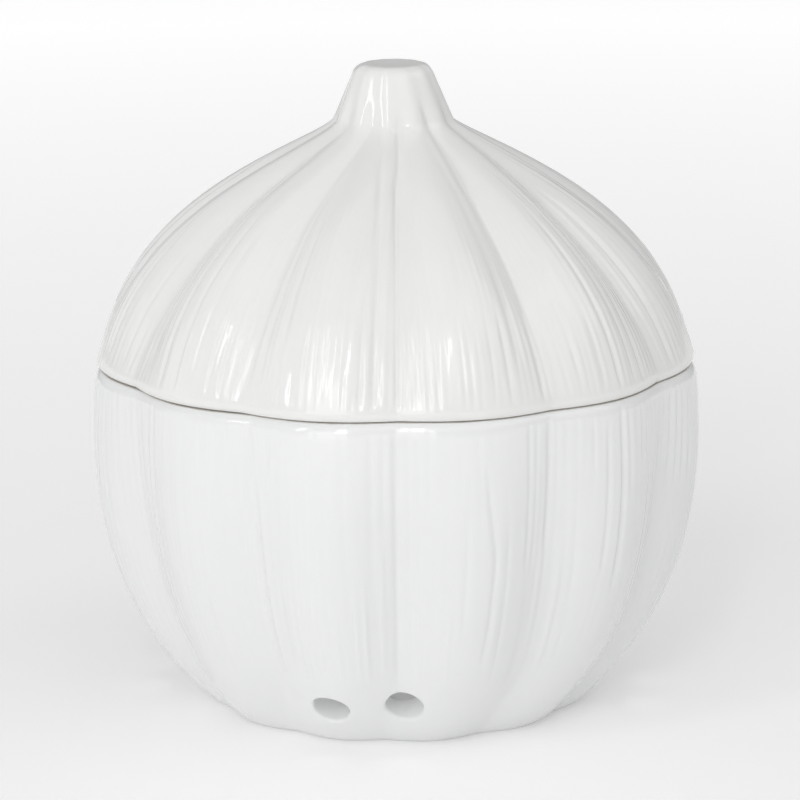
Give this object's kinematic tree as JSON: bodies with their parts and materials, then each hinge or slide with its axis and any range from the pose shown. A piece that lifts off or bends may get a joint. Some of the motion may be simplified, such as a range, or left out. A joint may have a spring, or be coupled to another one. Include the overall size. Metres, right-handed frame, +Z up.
{
  "type": "garlic keeper",
  "caption": "Round white glazed ceramic garlic keeper shaped like a bulb, with vent holes above the foot and a lift-off domed lid with a short stem knob.",
  "frame": {"origin": "middle of the foot, on the surface the pot stands on", "axes": "+Z up the axis of the pot; the front pair of vent holes faces -Y; +X to the right seen from the front"},
  "size_m": [0.1268, 0.1268, 0.1348],
  "materials": {
    "pot_glaze": "clear gloss glaze over white clay, bare on the foot ring and the rim's flat",
    "lid_glaze": "clear gloss glaze over white clay, bare under the edge and on the lip of the locating ring"
  },
  "bodies": {
    "pot": {"pot": "pot_glaze"},
    "lid": {"lid": "lid_glaze"}
  },
  "joints": [
    {"name": "lid_lift", "type": "slide", "parent": "pot", "child": "lid", "axis": [0, 0, 1], "range_m": [0, 0.12]}
  ]
}
